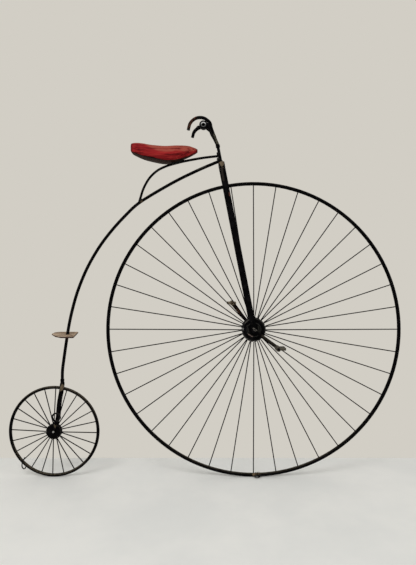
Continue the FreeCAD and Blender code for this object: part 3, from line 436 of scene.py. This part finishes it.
SPOTS = {
    "backbone": [streak((141, 201, 142.6, 202.4), -2 * MM, 2.6, BRAZE_TAN, 0.4),
                 streak((67.8, 341, 68.6, 338), -2 * MM, 1.6, RUST_BROWN, 0.5),
                 streak((197, 170, 206, 166), -2 * MM, 1.2, WORN_GREY, 0.35)],
    "saddle_bar": [streak((142, 200.3, 143.2, 198), -2 * MM, 1.8, WORN_GREY, 0.6),
                   streak((172, 162.6, 179, 160), -2 * MM, 2.2, RUST_BROWN, 0.5)],
    "fork_blade_right": [streak((220.8, 162, 222.4, 166), BLADE, 3.4, BRAZE_TAN, 0.85),
                         streak((221.4, 167, 223.6, 180), BLADE, 2.2, shade(58, 52, 47), 0.7),
                         streak((229.4, 192.6, 229.9, 195.4), BLADE, 1.3, RUST_PINK, 0.65),
                         streak((251.6, 321, 252.4, 324.5), BLADE, 1.4, WORN_GREY, 0.3)],
    "fork_blade_left": [streak((223, 162, 224.4, 167), -BLADE, 3, BRAZE_TAN, 0.5)],
    "fork_crown": [streak((219.6, 160.2, 221.6, 165), -13 * MM, 3, BRAZE_TAN, 0.7)],
    "handlebar_right": [streak((188.6, 128, 191, 122), ARM, 2.6, RUST_ORANGE, 0.6),
                        streak((191.6, 121, 195.6, 117.6), ARM, 2.6, RUST_ORANGE, 0.8),
                        streak((195.6, 117.4, 199, 116.2), ARM, 2, WORN_GREY, 0.4),
                        # Two painted glints on the arm at the top of the eye
                        streak((201.6, 116.6, 202.8, 116.8), ARM, 1.2, GLINT_GREY, 0.9),
                        streak((206, 118.8, 206.8, 119.6), ARM, 1, GLINT_GREY, 0.8),
                        streak((214.6, 134.8, 217.8, 143), (-12.8 * MM, -7.4 * MM), 3.2,
                               shade(86, 83, 71), 0.85)],
    "handlebar_left": [streak((194.4, 132, 195.2, 135.4), -ARM, 2, RUST_BROWN, 0.4)],
    "crank_left": [streak((229.4, 301.4, 232.4, 303), 18.6 * MM, 5, shade(116, 104, 86), 0.85)],
    # A painted highlight on the front axle's end, in line with the one on the crank
    "front_axle": [streak((253, 329.4, 256, 331.2), -24.1 * MM, 1.0, CRANK_HIGHLIGHT_GREY, 0.4)],
    # A painted glint on the rear axle's end
    "rear_axle": [streak((53, 432.2, 53.5, 431.8), -9.45 * MM, 1.7, GLINT_GREY, 1.0)],
    # Pale lines on the hub: painted glints, with a little wear
    "front_hub": [streak((250, 318.6, 257, 318.8), HUB, 1.2, WORN_GREY, 0.3),
                  streak((247.4, 326, 248.4, 332), HUB, 1.6, shade(64, 64, 58), 0.6),
                  streak((258.6, 326.4, 259.4, 332.4), HUB, 1.6, shade(58, 58, 52), 0.6)],
    # Painted highlights along the near crank's upper edge, then a brownish streak out to the pedal
    # that is partly wear, partly painted highlight
    "crank_right": [streak((252.4, 327.8, 254.4, 328.6), CRANK, 0.9, CRANK_HIGHLIGHT_GREY, 0.8),
                    streak((254.4, 328.6, 258.4, 331.6), CRANK, 0.7, CRANK_HIGHLIGHT_GREY, 0.8),
                    streak((262.6, 336, 275, 345.2), CRANK, 1.8, shade(62, 56, 45), 0.65)],
    "rear_fork": [streak((62.4, 384.6, 60.6, 390), REAR, 2.2, FORK_TAN, 0.85),
                  streak((53.8, 424.6, 55.8, 428.4), REAR, 1.3, FORK_TAN, 0.7),
                  streak((56, 426.4, 59, 424.8), REAR, 2.2, FORK_TAN, 0.6),
                  streak((51.2, 423.6, 55.2, 424.6), REAR - 1.5 * MM, 1.2, RUST_BROWN, 0.8)],
    "front_rim": [streak((254.2, 474.4, 259, 475), -3.4 * MM, 3.6, shade(126, 108, 86), 0.9)],
}
RUSTY = {"base": shade(20, 15, 12), "worn": shade(58, 38, 27), "rust": 0.5}
# The front rim has more dust on its top, which also serves as a painted highlight from above
SPOT_TONES = {"front_rim": {"dust_and_sheen": 0.5}, "crank_left": RUSTY}
for spot_node, spot_list in SPOTS.items():
    spot_tones = {"dust_and_sheen": SPOT_DUST_AND_SHEEN, **SPOT_TONES.get(spot_node, {})}
    nodes[spot_node].material_slots[0].material = iron(f"iron_{spot_node}", spot_list,
                                                       **spot_tones)

plain_iron = iron("black_iron")
# The rear rim's top: dust and a painted highlight from the light above
dust_and_sheen_iron = iron("dust_and_sheen_iron", dust_and_sheen=0.62, top=(0.1, 0.55))
wire_iron = iron("spoke_wire", base=shade(9, 7, 9), worn=SPOKE_PURPLE, rust=0.1, dust_and_sheen=0.1)
rusty_iron = iron("rusty_iron", gloss=0.6, **RUSTY)
OTHER_FINISHES = {
    plain_iron: ("head_tube", "steerer", "handlebar_collar", "rear_hub", "rear_rim_hook",
                 "rear_fork_crown", "pedal_pin_right"),
    dust_and_sheen_iron: ("rear_rim",),
    wire_iron: ("front_spokes_right", "front_spokes_left", "rear_spokes_right",
                "rear_spokes_left"),
    rusty_iron: ("pedal_pin_left", "front_rim_tie"),
    step_wood(): ("step_plate",),
    pedal_wood("pedal_wood", shade(88, 83, 71), shade(56, 52, 44)): ("pedal_right",),
    pedal_wood("pedal_wood_pale", shade(150, 138, 118), shade(104, 95, 80)): ("pedal_left",),
}
for finish_material, finish_nodes in OTHER_FINISHES.items():
    for finish_node in finish_nodes:
        nodes[finish_node].material_slots[0].material = finish_material


# The eye's painted highlight ring, brighter at the top where the light falls: its inner radius
# below and above the bore's middle, where its outer edge ends and is full, where it turns to the
# upper tone, and how far along the axles its face is bright
EYE_INNER = (3.5 * MM, 2.9 * MM)
EYE_OUTER = (5.3 * MM, 4.5 * MM)
EYE_UPPER = (BRACE_BORE.z - 0.5 * MM, BRACE_BORE.z + 2.5 * MM)
EYE_FACE = (-5.0 * MM, -5.7 * MM)


def brace_finish():
    """A dark eye with a painted highlight ring round the open end of its bore, brightest at the
    top.
    """
    finish = Finish("iron_handlebar_brace")
    x, y, z = finish.parts()
    away = finish.vector("DISTANCE", finish.joined(x, 0.0, z), tuple(BRACE_BORE))
    small = finish.noise(500, 4, 0.6)
    upper = finish.rise(z, *EYE_UPPER)
    inner = finish.blend(upper, *EYE_INNER)
    highlight_ring = finish.times(finish.rise(finish.math("SUBTRACT", away, inner), 0.0, 0.5 * MM),
                        finish.rise(away, *EYE_OUTER))
    face = finish.rise(y, *EYE_FACE)
    mask = finish.times(finish.times(highlight_ring, face), finish.rise(small, 0.25, 0.45))
    # Painted highlight ring, brighter at its top where the light falls
    colour = finish.mix(mask, finish.mix(small, BLACK, DARK_GREY),
                        finish.mix(upper, shade(120, 120, 118), shade(206, 206, 204)))
    roughness = finish.blend(mask, 0.42, 0.36)
    finish.shine(0.02)
    return finish.done(colour, roughness, small, 0.3 * MM, 0.4)


nodes["handlebar_brace"].material_slots[0].material = brace_finish()


def skin(mesh, rings, looped=False):
    """Faces from each ring of corners to the next. The ends are closed, or meet when looped."""
    pairs = list(zip(rings, rings[1:]))
    if looped:
        pairs.append((rings[-1], rings[0]))
    for lower, upper in pairs:
        for corner in range(len(lower)):
            after = (corner + 1) % len(lower)
            mesh.faces.new((lower[corner], lower[after], upper[after], upper[corner]))
    if not looped:
        mesh.faces.new(rings[0])
        mesh.faces.new(rings[-1])


def piece(name, mesh, body, material):
    """Turns a built mesh into a piece of the bicycle that rides on a body."""
    data = bpy.data.meshes.new(name)
    bmesh.ops.recalc_face_normals(mesh, faces=mesh.faces)
    mesh.to_mesh(data)
    mesh.free()
    data.polygons.foreach_set("use_smooth", [True] * len(data.polygons))
    item = bpy.data.objects.new(name, data)
    bpy.context.scene.collection.objects.link(item)
    data.materials.append(material)
    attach(item, body)
    return item


# What a piece's centre is multiplied by, to give the piece a stretch of noise of its own
BEAD_SEED = 900
RING_SEED = 700
LUMP_SEED = 800
BEAD_RINGS = 9
BEAD_CORNERS = 22
# How deep in the bar a bead's ends lie, how uneven its swelling is, and how far it slides along
BEAD_SUNK = 0.35 * MM
BEAD_UNEVEN = 0.55
BEAD_SLIDE = 0.12


def bead(name, body, centre, axis, bar_radius, length, bulge):
    """An uneven ring of weld round a bar. It swells over its length and ends inside the bar."""
    axis = axis.normalized()
    side = Vector((0, 1, 0))
    out = side.cross(axis).normalized()
    mesh = bmesh.new()
    rings = []
    for step in range(BEAD_RINGS):
        share = -1 + 2 * step / (BEAD_RINGS - 1)
        swell = sqrt(max(0.0, 1 - share * share))
        corners = []
        for corner in range(BEAD_CORNERS):
            angle = tau * corner / BEAD_CORNERS
            around = Vector((cos(angle), sin(angle), share)) * 1.6 + centre * BEAD_SEED
            uneven = 1 + BEAD_UNEVEN * noise.noise(around)
            reach = -BEAD_SUNK + (bulge + BEAD_SUNK) * swell * uneven
            slide = BEAD_SLIDE * length * noise.noise(around + Vector((7, 3, 1)))
            point = (centre + axis * (share * length / 2 + slide * swell)
                     + out * cos(angle) * (bar_radius + reach)
                     + side * sin(angle) * (bar_radius + reach))
            corners.append(mesh.verts.new(point))
        rings.append(corners)
    skin(mesh, rings)
    piece(name, mesh, body, weld)


# The seat from nose to tail, in millimetres: place along it, half width, height of its top and
# low edges, and the share of its width that its flat underside has
SEAT = ((65.2, 3, -6.4, -11.6, 0.5), (64.4, 3.9, -5.8, -12.6, 0.45), (58.7, 7.8, -3.1, -15.8, 0.34),
        (45.7, 12.2, 0.5, -22, 0.34), (23.5, 16.3, 1.1, -29.8, 0.72), (0, 18.5, 0, -31.4, 0.88),
        (-23.5, 18.6, 1.6, -27.4, 0.9), (-41.8, 16.7, 5, -23, 0.9), (-56.1, 13.8, 6.2, -17.6, 0.9),
        (-64.2, 11.9, 5.2, -13.4, 0.9), (-65.2, 11, 4, -12.4, 0.9))
SEAT_STEPS = 6
# How far up the seat its dome begins, the degrees between the dome's corners, how deep the keel
# is as a share of the half width, and the least angle in degrees that stays a sharp edge
SEAT_WALL = 0.42
SEAT_DOME_TURN = 9
SEAT_KEEL = 0.05
SEAT_SHARP = 38


def between(share, a, b, c, d):
    """The value a share of the way from b to c, on a smooth line through all four."""
    square = 2 * a - 5 * b + 4 * c - d
    cube = 3 * (b - c) + d - a
    return b + 0.5 * share * (c - a + share * (square + share * cube))


def smooth(stations, steps):
    """A smooth path with that many steps from each station to the next, short of the last one."""
    held = (stations[0], *stations, stations[-1])
    return [[between(step / steps, *values) for values in zip(*four)]
            for four in zip(held, held[1:], held[2:], held[3:]) for step in range(steps)]


def seat():
    """The carved seat: a domed top over sides that lean in to sharp low edges, and a flat
    underside with a low keel. It keeps to the solid's length, width and height."""
    mesh = bmesh.new()
    rings = []
    for x, half, high, low, foot in (*smooth(SEAT, SEAT_STEPS), SEAT[-1]):
        wall = low + (high - low) * SEAT_WALL
        dome = [(half * cos(radians(turn)), wall + (high - wall) * sin(radians(turn)))
                for turn in range(0, 181, SEAT_DOME_TURN)]
        side = [(half * (foot + (1 - foot) * sqrt(1 - share * share)),
                 wall - (wall - low) * share) for share in (0.35, 0.7, 0.92, 1)]
        under = [(half * foot * share, low - SEAT_KEEL * half * (1 - share))
                 for share in (0.66, 0.33, 0)]
        # Over the dome to the right, down that side, across the underside and up the left side
        around = dome + [(-y, z) for y, z in side] + [(-y, z) for y, z in under]
        around += [(y, z) for y, z in under[-2::-1]] + side[::-1]
        carved = []
        for y, z in around:
            place = Vector((x * 0.035, y * 0.11, z * 0.11))
            aside = y + 0.35 * noise.noise(place)
            height = z + 0.3 * noise.noise(place + Vector((3, 8, 5)))
            carved.append(mesh.verts.new(Vector((x, aside, height)) * MM))
        rings.append(carved)
    skin(mesh, rings)
    item = piece("carved_seat", mesh, "frame", saddle_wood())
    item.data.set_sharp_from_angle(angle=radians(SEAT_SHARP))
    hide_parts("saddle")


seat()


# Steps of a ring of weld to each of its swellings, and corners round its section
RING_STEPS = 5
RING_CORNERS = 12


def weld_ring(name, body, centre, radius, across, along, lumps, material):
    """An uneven bead of weld all round an axle.

    Across is its half width outwards from the axle, along its half width along the axle, and
    lumps the number of swellings in it.
    """
    mesh = bmesh.new()
    rings = []
    for step in range(lumps * RING_STEPS):
        turn = tau * step / (lumps * RING_STEPS)
        out = Vector((cos(turn), 0, sin(turn)))
        place = centre * RING_SEED + out * 4
        swell = (1 + 0.12 * cos(lumps * turn + 2 * noise.noise(place))
                 + 0.3 * noise.noise(place * 1.7))
        wander = 0.25 * across * noise.noise(place * 1.1 + Vector((5, 2, 9)))
        corners = []
        for corner in range(RING_CORNERS):
            angle = tau * corner / RING_CORNERS
            corners.append(mesh.verts.new(
                centre + out * (radius + wander + across * swell * cos(angle))
                + Vector((0, along * min(swell, 1.1) * sin(angle), 0))))
        rings.append(corners)
    skin(mesh, rings, looped=True)
    piece(name, mesh, body, material)


def lump(name, body, centre, half_sizes, tilt, material):
    """An uneven blob: long, high and deep by its half sizes, and tilted about the axles' line."""
    mesh = bmesh.new()
    bmesh.ops.create_icosphere(mesh, subdivisions=3, radius=1)
    along = Vector((cos(tilt), 0, sin(tilt)))
    up = Vector((-sin(tilt), 0, cos(tilt)))
    for vert in mesh.verts:
        place = vert.co.copy()
        place *= (1 + 0.35 * noise.noise(place * 1.3 + centre * LUMP_SEED)
                  + 0.12 * noise.noise(place * 4))
        vert.co = (centre + along * place.x * half_sizes[0] + up * place.z * half_sizes[1]
                   + Vector((0, place.y * half_sizes[2], 0)))
    piece(name, mesh, body, material)


weld = iron("weld", base=shade(6, 6, 6), worn=shade(28, 26, 24), rust=0.3, gloss=0.4, dust_and_sheen=0.12,
            shine=0.12)
braze = iron("braze", base=shade(116, 103, 84), worn=shade(76, 66, 54), rust=0.6, gloss=0.6,
             dust_and_sheen=0.0)
# A painted glint on the knot of the wire tie
KNOT_GLINT = streak((257, 477, 257.8, 477.6), -10 * MM, 1.3, shade(130, 130, 128), 0.8)
glossy = iron("glossy_black", [KNOT_GLINT], base=shade(3, 3, 3), worn=shade(10, 10, 10),
              rust=0.1, gloss=0.26, dust_and_sheen=0.0, shine=0.12)
NEAR_WELD = -12.1 * MM
# The pinkish tan of painted gloss on the hub's weld ring
WELD_GLINT_TAN = shade(126, 110, 102)
# Marks on the weld rings of the hub: painted glints and gloss, with a little wear
HUB_GLINTS_AND_WEAR = [streak((243.2, 328.6, 247, 333.8), NEAR_WELD, 1.5, GLINT_GREY, 0.8),
             streak((247, 335.6, 249.4, 334.2), NEAR_WELD, 1.7, WELD_GLINT_TAN, 0.95),
             streak((249.4, 334.2, 252.2, 336.2), NEAR_WELD, 1.6, WELD_GLINT_TAN, 0.85),
             streak((256, 338, 259.6, 336), NEAR_WELD, 1.4, WORN_GREY, 0.5),
             streak((262, 333.4, 263.4, 328), NEAR_WELD, 1.4, WORN_GREY, 0.4),
             streak((245, 323, 249, 320.4), NEAR_WELD, 1.3, WORN_GREY, 0.5),
             streak((256.4, 321, 259.6, 323.6), NEAR_WELD, 1.3, WORN_GREY, 0.4)]
hub_weld = iron("hub_weld", HUB_GLINTS_AND_WEAR, base=shade(5, 5, 5), worn=shade(38, 38, 34), rust=0.2,
                gloss=0.34, shine=0.2)

# Beads where bars meet: place in the photograph, the bar's direction and radius, length and bulge
bead("weld_saddle_bar_foot", "frame", seen(141.2, 200.4), Vector((0.6, 0, 0.8)),
     SADDLE_BAR_RADIUS, 7 * MM, 1.1 * MM)
bead("weld_saddle_bar_head", "frame", seen(218.2, 153.6), Vector((1, 0, 0.16)),
     SADDLE_BAR_RADIUS, 6 * MM, 0.9 * MM)
bead("weld_backbone_head", "frame", seen(218.6, 159.4), Vector((1, 0, 0.45)),
     BACKBONE_RADIUS, 6 * MM, 0.9 * MM)

# Rings on both sides of a wheel, in millimetres: distance from the wheel's middle plane, radius,
# half width outwards and along the axle, and the number of swellings
HUB_RINGS = (("weld_front_hub", "front_wheel", FRONT_AXLE, 10.6, 21.6, 1.5, 1.5, 19),
             ("weld_front_collar", "front_wheel", FRONT_AXLE, 11.2, 13.4, 1.3, 1, 11),
             ("weld_rear_hub", "rear_wheel", REAR_AXLE, 2.9, 13.9, 1.1, 1.1, 13))
for side, word in ((-1, "right"), (1, "left")):
    for name, body, axle, distance, radius, across, along, lumps in HUB_RINGS:
        weld_ring(f"{name}_{word}", body, axle + Vector((0, side, 0)) * distance * MM,
                  radius * MM, across * MM, along * MM, lumps, hub_weld)
weld_ring("weld_eye", "steering", BRACE_BORE + Vector((0, -4.5, 0)) * MM,
          7.3 * MM, 1 * MM, 1.5 * MM, 7, plain_iron)
weld_ring("weld_rear_ring", "frame", REAR_RING, 7.5 * MM, 1.8 * MM, 1.6 * MM, 5, weld)

# Lumps: place in the photograph, depth and half sizes in millimetres, and tilt in radians
for name, body, place, depth, half_sizes, tilt, material in (
        ("weld_seat_low", "frame", (173.2, 162.9), -0.5, (3.4, 2.6, 3.2), 0.3, weld),
        ("weld_seat_high", "frame", (178.8, 161.3), -0.5, (8.6, 2.7, 3), 0.3, weld),
        ("braze_fork_top", "steering", (221.9, 163.8), -15.3, (3.8, 5.4, 1.2), 0.2, braze),
        ("braze_rear_fork", "frame", (61.9, 387.6), -7.5, (3.2, 7, 1.3), -0.22, braze),
        ("tie_knot_near", "front_wheel", (257.2, 476.5), -7.4, (6, 2.3, 2.8), -0.15, glossy),
        ("tie_knot_far", "front_wheel", (259.6, 475.6), -6.2, (3.6, 2.3, 2.2), 0.4, glossy)):
    lump(name, body, seen(*place, depth * MM), [half * MM for half in half_sizes], tilt, material)

# The left arm is forged broad where it passes under the eye: the places in the photograph of
# its inner and outer edge, and how far behind the middle plane it lies there in millimetres
BROAD_ARM = ((194.6, 134.6, 192.5, 133.5, 23), (195.6, 132.9, 193.7, 131, 23),
             (197, 131.2, 195.5, 128.1, 23), (198.8, 129.9, 197.5, 125.7, 23),
             (201, 129, 200.1, 125.3, 23), (203.5, 128.7, 203, 125.1, 22.6),
             (206, 129.1, 206.2, 125.4, 21.6), (208.4, 130.1, 209, 126.7, 20),
             (210.4, 131.6, 211, 129, 18), (211.8, 133.4, 212.2, 131.8, 15.6))
BROAD_ARM_STEPS = 4
BROAD_ARM_CORNERS = 16
BROAD_ARM_HALF_DEPTH = 2.2 * MM


def broad_arm():
    """The flattened arm, swept along its arch with an oval section."""
    mesh = bmesh.new()
    rings = []
    for *edges, depth in smooth(BROAD_ARM, BROAD_ARM_STEPS):
        inner, outer = seen(*edges[:2], depth * MM), seen(*edges[2:], depth * MM)
        centre, half = (inner + outer) / 2, (outer - inner) / 2
        corners = []
        for corner in range(BROAD_ARM_CORNERS):
            angle = tau * corner / BROAD_ARM_CORNERS
            aside = Vector((0, BROAD_ARM_HALF_DEPTH * sin(angle), 0))
            corners.append(mesh.verts.new(centre + half * cos(angle) + aside))
        rings.append(corners)
    skin(mesh, rings)
    piece("broad_arm", mesh, "steering", plain_iron)


broad_arm()

# Studio: a pale slab that ends where the photograph's shelf does, seen from above by two opposite
# corners, the colours and strength of the light from all round and of the backdrop, and two lamps
SLAB = (Vector((-900, -700, 0)) * MM, Vector((1100, 89, 0)) * MM)
SLAB_THICKNESS = 30 * MM
ROUND_LIGHT = shade(250, 248, 244)
ROUND_STRENGTH = 0.5
BACKDROP = shade(210, 206, 197)
LAMP_AIM = Vector((80, 0, -330)) * MM
LAMP_SIZE = 1.0
LAMPS = (("key", Vector((-0.5, -1.5, 1.3)), 20), ("fill", Vector((1.5, -1.2, 0.5)), 6))


def slab_finish():
    """Faintly clouded pale stone."""
    finish = Finish("pale_slab")
    cloud = finish.noise(5, 5, 0.6)
    colour = finish.mix(finish.rise(cloud, 0.35, 0.7), shade(238, 239, 236), shade(247, 247, 243))
    return finish.done(colour, 0.5)


def slab():
    """The slab that the bicycle stands on, kept apart from it as part of the stage."""
    mesh = bmesh.new()
    low, high = SLAB
    bmesh.ops.create_cube(mesh, size=1)
    for vert in mesh.verts:
        vert.co = Vector((low.x if vert.co.x < 0 else high.x, low.y if vert.co.y < 0 else high.y,
                          GROUND - (SLAB_THICKNESS if vert.co.z < 0 else 0)))
    data = bpy.data.meshes.new("floor")
    mesh.to_mesh(data)
    mesh.free()
    data.materials.append(slab_finish())
    item = bpy.data.objects.new("floor", data)
    bpy.context.scene.collection.objects.link(item)


slab()


def world():
    """The light from all round, and a plain cream backdrop for the camera and for reflections."""
    setting = bpy.data.worlds.new("studio")
    setting.use_nodes = True
    tree = setting.node_tree
    light = tree.nodes["Background"]
    light.inputs[0].default_value = ROUND_LIGHT
    light.inputs[1].default_value = ROUND_STRENGTH
    backdrop = tree.nodes.new("ShaderNodeBackground")
    backdrop.inputs[0].default_value = BACKDROP
    backdrop.inputs[1].default_value = 1.0
    ray = tree.nodes.new("ShaderNodeLightPath").outputs

    def larger(first, second):
        node = tree.nodes.new("ShaderNodeMath")
        node.operation = "MAXIMUM"
        tree.links.new(first, node.inputs[0])
        tree.links.new(second, node.inputs[1])
        return node.outputs[0]

    shown = larger(ray["Is Camera Ray"],
                   larger(ray["Is Glossy Ray"], ray["Is Transmission Ray"]))
    mixed = tree.nodes.new("ShaderNodeMixShader")
    tree.links.new(shown, mixed.inputs[0])
    tree.links.new(light.outputs[0], mixed.inputs[1])
    tree.links.new(backdrop.outputs[0], mixed.inputs[2])
    tree.links.new(mixed.outputs[0], tree.nodes["World Output"].inputs[0])
    bpy.context.scene.world = setting


world()

for lamp_name, lamp_place, lamp_power in LAMPS:
    lamp_data = bpy.data.lights.new(lamp_name, "AREA")
    lamp_data.shape = "SQUARE"
    lamp_data.size = LAMP_SIZE
    lamp_data.energy = lamp_power
    lamp = bpy.data.objects.new(lamp_name, lamp_data)
    lamp.location = lamp_place
    lamp.rotation_euler = (LAMP_AIM - lamp_place).to_track_quat("-Z", "Y").to_euler()
    bpy.context.scene.collection.objects.link(lamp)

camera_data = bpy.data.cameras.new("camera")
camera_data.lens = CAMERA_LENS
camera_data.sensor_width = CAMERA_FILM
camera_data.shift_x = CAMERA_SHIFT
camera = bpy.data.objects.new("camera", camera_data)
camera.location = CAMERA_PLACE
camera.rotation_euler = (radians(90), 0, 0)
bpy.context.scene.collection.objects.link(camera)
bpy.context.scene.camera = camera
bpy.context.scene.view_settings.view_transform = "Standard"
